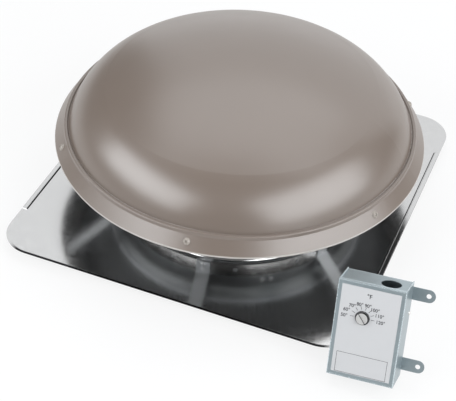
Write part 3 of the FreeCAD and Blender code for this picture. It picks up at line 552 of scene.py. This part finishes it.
plastic = moulded("black_plastic", (0.03, 0.03, 0.032), 0.45)
film = label_film()
ink = print_ink()
dial_metal = dial_plate()


def numbered(stem, count):
    return ["%s_%d" % (stem, k + 1) for k in range(count)]


# What each node of the solids is made of
legs = numbered("dome_leg", leg_count)
arms = numbered("motor_arm", arm_count)
dressing = {
    sheet: ["flashing"],
    ring_zinc: ["throat_ring", "throat_rivets"],
    paint: ["dome"],
    bracket_zinc: [*legs, *arms, "fan_spider"],
    rivet_metal: ["leg_rivets", "arm_rivets", "fan_rivets", "motor_through_bolts", "hub_set_screw"],
    plated: ["dome_nuts", "motor_mount_bolts", "cover_screws"],
    rubber: ["motor_grommets"],
    alloy: ["motor_lower_bell", "motor_upper_bell", "fan_hub"],
    enamel: ["motor_shell"],
    plastic: ["lead_bushing", "dial_bushing", "switch_body"],
    bronze: ["lower_bearing", "upper_bearing", "bimetal_strip"],
    core_metal: ["stator_core", "rotor_core"],
    copper: ["stator_winding"],
    shaft_metal: ["motor_shaft", "shaft_collars"],
    blade_metal: numbered("fan_blade", blade_count),
    box_zinc: ["thermostat_base", "thermostat_cover"],
    film: ["thermostat_label"],
    dial_metal: ["adjusting_dial"],
    brass: ["terminal_screws"],
}
for material, names in dressing.items():
    for name in names:
        for place in nodes[name].material_slots:
            place.material = material


def turns(count):
    return [full_turn * k / count for k in range(count)]


# Faces between neighbouring rings of points. A ring that repeats one point closes to a tip.
def skin(builder, rings, closed=False):
    pairs = list(zip(rings[:-1], rings[1:]))
    if closed:
        pairs.append((rings[-1], rings[0]))
    for low, high in pairs:
        for k in range(len(low)):
            after = (k + 1) % len(low)
            corners = [low[k], low[after], high[after], high[k]]
            builder.faces.new(list(dict.fromkeys(corners)))


# A closed body between two rings of corners
def capped(builder, low, high):
    builder.faces.new(low[::-1])
    builder.faces.new(high)
    skin(builder, [low, high])


# A profile of radius and height turned round the Z axis
def lathed(builder, profile, steps, closed=False):
    rings = []
    for radius, height in profile:
        if radius == 0.0:
            rings.append([builder.verts.new((0, 0, height))] * steps)
        else:
            ring = [(radius * math.cos(turn), radius * math.sin(turn), height) for turn in turns(steps)]
            rings.append([builder.verts.new(point) for point in ring])
    skin(builder, rings, closed)


# A round bar along a path, with flat ends unless the path is closed
def tube(builder, places, radius, sides, closed=False):
    count = len(places)
    rings = []
    for k, place in enumerate(places):
        before = places[k - 1] if closed or k > 0 else place
        after = places[(k + 1) % count] if closed or k < count - 1 else place
        along = (after - before).normalized()
        side = along.cross(Vector((place.x, place.y, 0)).normalized()).normalized()
        out = side.cross(along)
        ring = [place + (side * math.cos(turn) + out * math.sin(turn)) * radius for turn in turns(sides)]
        rings.append([builder.verts.new(point) for point in ring])
    skin(builder, rings, closed)
    if not closed:
        builder.faces.new(rings[0])
        builder.faces.new(rings[-1][::-1])


def prism(builder, outline, height):
    low = [builder.verts.new((x, y, 0)) for x, y in outline]
    high = [builder.verts.new((x, y, height)) for x, y in outline]
    capped(builder, low, high)


def mesh_of(name, builder):
    mesh = bpy.data.meshes.new(name)
    builder.to_mesh(mesh)
    builder.free()
    return mesh


# The mesh of an object once its modifiers have worked, or of a text
def shaped_mesh(item):
    return bpy.data.meshes.new_from_object(item.evaluated_get(bpy.context.evaluated_depsgraph_get()))


# A mesh drawn in millimetres becomes a piece in metres, smooth but for its sharp edges.
def finished(name, builder, material, crease):
    bmesh.ops.recalc_face_normals(builder, faces=builder.faces)
    bmesh.ops.scale(builder, vec=(MM, MM, MM), verts=builder.verts)
    mesh = mesh_of(name, builder)
    mesh.shade_smooth()
    mesh.set_sharp_from_angle(angle=math.radians(crease))
    mesh.materials.append(material)
    return new_object(name, mesh)


# A copy of a mesh joins the piece that is being drawn.
def added(builder, mesh, matrix):
    first = len(builder.verts)
    builder.from_mesh(mesh)
    builder.verts.ensure_lookup_table()
    bmesh.ops.transform(builder, matrix=matrix, verts=builder.verts[first:])


# A screw's outline from the crown of its head down to its tip, as radius and height
def screw_profile():
    ball = (head_radius ** 2 + head_height ** 2) / (2 * head_height)
    profile = []
    for k in range(head_steps + 1):
        radius = head_radius * k / head_steps
        profile.append((radius, head_height - ball + math.sqrt(ball ** 2 - radius ** 2)))
    profile += [(head_radius * head_undercut, 0.0), (shank_radius, 0.0)]
    depth = thread_start
    while depth < shank_length - thread_end:
        profile += [(shank_radius, -depth), (shank_radius * thread_root, -depth - thread_pitch / 2)]
        depth += thread_pitch
    profile += [(shank_radius * shank_tip, -shank_length), (0.0, -shank_length)]
    return profile


# Two crossed wedges, wider at the top, that cut the recess
def recess_tool():
    builder = bmesh.new()
    half = recess_width / 2
    top = head_height + recess_overlap
    foot = top - recess_overlap - recess_depth
    for angle in (0, 90):
        turned = Matrix.Rotation(math.radians(angle), 4, "Z")
        rings = []
        for height, reach in ((foot, recess_reach * recess_foot), (top, recess_reach * recess_mouth)):
            outline = ((-reach, -half), (reach, -half), (reach, half), (-reach, half))
            rings.append([builder.verts.new(turned @ Vector((x, y, height))) for x, y in outline])
        capped(builder, *rings)
    return new_object("recess_tool", mesh_of("recess_tool", builder))


def screw_mesh():
    builder = bmesh.new()
    lathed(builder, screw_profile(), screw_steps)
    bmesh.ops.recalc_face_normals(builder, faces=builder.faces)
    blank = new_object("screw_blank", mesh_of("screw", builder))
    tool = recess_tool()
    cut = blank.modifiers.new("recess", "BOOLEAN")
    cut.operation = "DIFFERENCE"
    cut.solver = "EXACT"
    cut.use_self = True
    cut.object = tool
    shaped = shaped_mesh(blank)
    bpy.data.objects.remove(blank)
    bpy.data.objects.remove(tool)
    return shaped


# Pan-head screws with a cross recess and threads, each driven home at a turn of its own
def skirt_screws():
    screw = screw_mesh()
    builder = bmesh.new()
    seat = Matrix.Translation((screw_seat[0], 0, screw_seat[1]))
    lean = Matrix.Rotation(math.radians(screw_tilt), 4, "Y")
    for k in range(screw_count):
        turn = Matrix.Rotation(math.radians(screw_turn + 360.0 * k / screw_count), 4, "Z")
        driven = Matrix.Rotation(math.radians(drive_first + drive_step * k), 4, "Z")
        added(builder, screw, turn @ seat @ lean @ driven)
    piece = finished("skirt_screws", builder, screw_paint, crease=30.0)
    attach(piece, "ventilator")
    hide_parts("dome_screws")


# Bird screen: spokes and rings that pass over and under each other, with a band at each edge
def woven_screen():
    low = Vector((screen_low[0], 0, screen_low[1]))
    high = Vector((screen_high[0], 0, screen_high[1]))
    slope = (high - low).normalized()
    outward = Vector((slope.z, 0, -slope.x))
    builder = bmesh.new()

    def spoke_turn(spoke):
        return Matrix.Rotation(full_turn * spoke / screen_spokes, 3, "Z")

    def crossing(spoke, ring, side):
        share = (ring + 0.5) / screen_rings
        lift = side * wire_radius * (-1) ** (spoke + ring)
        return spoke_turn(spoke) @ (low.lerp(high, share) + outward * lift)

    for spoke in range(screen_spokes):
        turn = spoke_turn(spoke)
        path = [turn @ low] + [crossing(spoke, ring, 1) for ring in range(screen_rings)] + [turn @ high]
        tube(builder, path, wire_radius, wire_sides)
    for ring in range(screen_rings):
        path = [crossing(spoke, ring, -1) for spoke in range(screen_spokes)]
        tube(builder, path, wire_radius, wire_sides, closed=True)
    for start in (low, high - slope * band_width):
        end = start + slope * band_width
        edge = outward * band_sheet / 2
        corners = [start - edge, end - edge, end + edge, start + edge]
        lathed(builder, [(corner.x, corner.z) for corner in corners], band_steps, closed=True)
    piece = finished("woven_screen", builder, screen_zinc, crease=50.0)
    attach(piece, "ventilator")
    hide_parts("bird_screen")


# The label's own frame: x across, y up, z out of the label, from the dial's centre
def label_frame(lift=0.0):
    axes = Matrix((box_upward.cross(dial_axis), box_upward, dial_axis)).transposed().to_4x4()
    return Matrix.Translation(dial_place + dial_axis * lift * MM) @ axes


def letters(builder, words, size, place):
    curve = bpy.data.curves.new("letters", "FONT")
    curve.body = words
    curve.size = size
    curve.align_x = "CENTER"
    curve.align_y = "CENTER"
    curve.offset = number_weight
    curve.extrude = print_height / 2
    text = new_object("letters", curve)
    added(builder, shaped_mesh(text), Matrix.Translation((place[0], place[1], print_height / 2)))
    bpy.data.objects.remove(text)


def bar(builder, left, low, right, high):
    prism(builder, [(left, low), (right, low), (right, high), (left, high)], print_height)


# Numbers and ticks round the dial, a ring, the unit's sign and an empty frame
def label_print():
    builder = bmesh.new()
    for k in range(number_count):
        angle = math.pi * (1 - k / (number_count - 1))
        way = Vector((math.cos(angle), math.sin(angle)))
        place = (way.x * number_ellipse[0], way.y * number_ellipse[1] - number_drop)
        number = first_number + k * number_step
        letters(builder, "%d%s" % (number, degree_sign), number_size, place)
        side = Vector((-way.y, way.x)) * tick_width / 2
        near = way * tick_reach[0]
        far = way * tick_reach[1]
        prism(builder, [near - side, far - side, far + side, near + side], print_height)
    letters(builder, degree_sign + "F", unit_size, unit_place)
    inner, outer = ring_radii
    rim = [(inner, 0), (outer, 0), (outer, print_height), (inner, print_height)]
    lathed(builder, rim, ring_steps, closed=True)
    (left, low), (right, high) = frame_corners
    bar(builder, left, low, right, low + frame_width)
    bar(builder, left, high - frame_width, right, high)
    bar(builder, left, low, left + frame_width, high)
    bar(builder, right - frame_width, low, right, high)
    piece = finished("label_print", builder, ink, crease=30.0)
    piece.data.transform(label_frame(print_gap))
    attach(piece, "ventilator")


# Hems: the folded sheet's inner edge is a fine bright bead.
def hem_beads():
    builder = bmesh.new()
    across = hem_inner / MM + bead_radius
    half = hem_reach / MM
    for side in (-1, 1):
        shares = [2 * k / bead_steps - 1 for k in range(bead_steps + 1)]
        path = [Vector((side * across, half * share, bead_height)) for share in shares]
        tube(builder, path, bead_radius, bead_sides)
    piece = finished("hem_beads", builder, sheet, crease=60.0)
    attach(piece, "ventilator")


# The box's folds and rolled edges, which catch the light, in a zinc paler than the box's own that paints a
# highlight on them
def box_folds():
    builder = bmesh.new()
    left, right = box_across[0] + fold_inset, box_across[1] - fold_inset
    low, high = box_up[0] + fold_inset, box_up[1] - fold_inset
    back, front = box_out[0] + fold_inset, box_out[1] - fold_inset
    runs = [((x, low, front), (x, high, front)) for x in (left, right)]
    runs += [((left, y, front), (right, y, front)) for y in (low, high)]
    runs += [((x, high, front), (x, high, back + base_step)) for x in (left, right)]
    runs += [
        ((left, high, front - lip_reach), (right, high, front - lip_reach)),
        ((left + base_step, high - base_step, back), (right - base_step, high - base_step, back)),
    ]
    for start, end in runs:
        tube(builder, [Vector(start), Vector(end)], fold_radius, fold_sides)
    # The folds wear the paler zinc, a painted highlight.
    piece = finished("box_folds", builder, fold_highlight_zinc, crease=50.0)
    piece.data.transform(label_frame())
    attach(piece, "ventilator")


skirt_screws()
woven_screen()
label_print()
hem_beads()
box_folds()


def make_floor(height):
    builder = bmesh.new()
    bmesh.ops.create_grid(builder, x_segments=1, y_segments=1, size=floor_size / 2)
    floor = new_object("floor", mesh_of("floor", builder))
    floor.location.z = height
    floor.data.materials.append(floor_paper())


# A soft box that faces the scene's middle, placed in degrees and sized in metres
def softbox(name, azimuth, elevation, distance, width, height, radiance):
    way = direction(azimuth, elevation)
    data = bpy.data.lights.new(name, "AREA")
    data.shape = "RECTANGLE"
    data.size = width
    data.size_y = height
    data.energy = radiance * math.pi * width * height
    data.color = studio_tint
    lamp = new_object(name, data)
    lamp.location = lamp_target + way * distance
    lamp.rotation_mode = "QUATERNION"
    lamp.rotation_quaternion = way.to_track_quat("Z", "Y")


def make_world():
    world = bpy.data.worlds.new("studio")
    world.use_nodes = True
    background = world.node_tree.nodes["Background"]
    background.inputs["Color"].default_value = (1, 1, 1, 1)
    background.inputs["Strength"].default_value = world_level
    bpy.context.scene.world = world


make_floor(cad_box[0].z)
softbox("softbox_left", azimuth=-45, elevation=31, distance=2.4, width=2.7, height=1.2, radiance=5.1)
softbox("softbox_right", azimuth=73, elevation=30, distance=2.4, width=3.0, height=1.75, radiance=4.15)
softbox("softbox_top", azimuth=-168, elevation=72, distance=3.0, width=3.8, height=2.4, radiance=1.75)
softbox("softbox_back", azimuth=-177, elevation=25, distance=3.4, width=5.4, height=3.4, radiance=1.0)
make_world()
bpy.context.scene.view_settings.view_transform = "Standard"
